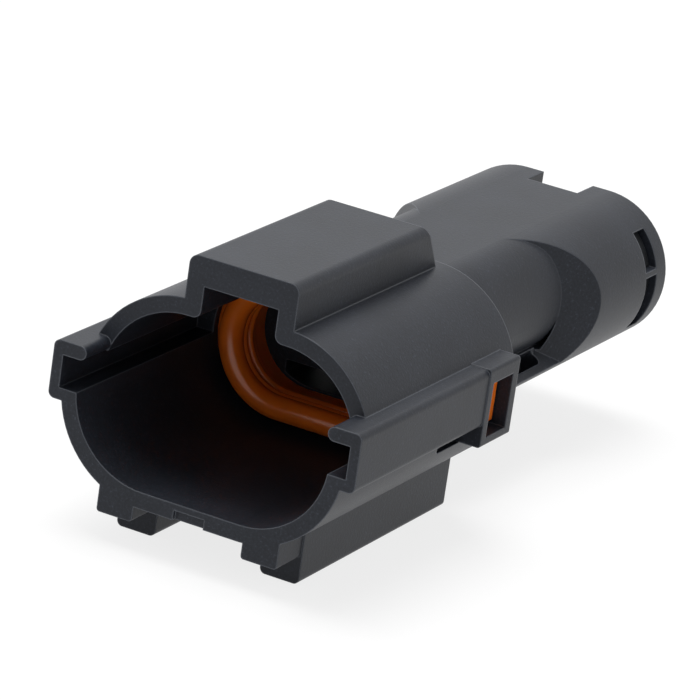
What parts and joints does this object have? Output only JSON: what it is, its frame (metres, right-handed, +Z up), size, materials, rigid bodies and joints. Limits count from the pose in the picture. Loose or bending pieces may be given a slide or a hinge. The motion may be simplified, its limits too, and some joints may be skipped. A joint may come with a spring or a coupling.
{
  "type": "sealed automotive connector housing",
  "caption": "Pin-side housing of a sealed two-way automotive connector: twin-lobed mating shroud with side guides and latch bridge, silicone interface seal, and a lobed wire collar at the rear.",
  "frame": {"origin": "on the floor that the rails stand on, under the middle of the part's length and width", "axes": "+Y from the mating mouth to the wires, +Z up from the rails to the latch housing, +X to the right seen from the mouth"},
  "size_m": [0.0406, 0.0908, 0.0348],
  "materials": {
    "housing_plastic": "fine moulded texture, satin black",
    "seal_silicone": "smooth glossy silicone",
    "holder_plastic": "satin black"
  },
  "bodies": {
    "root": {"housing": "housing_plastic", "interface_seal": "seal_silicone", "wire_seal": "seal_silicone", "rear_holder": "holder_plastic"}
  },
  "joints": []
}
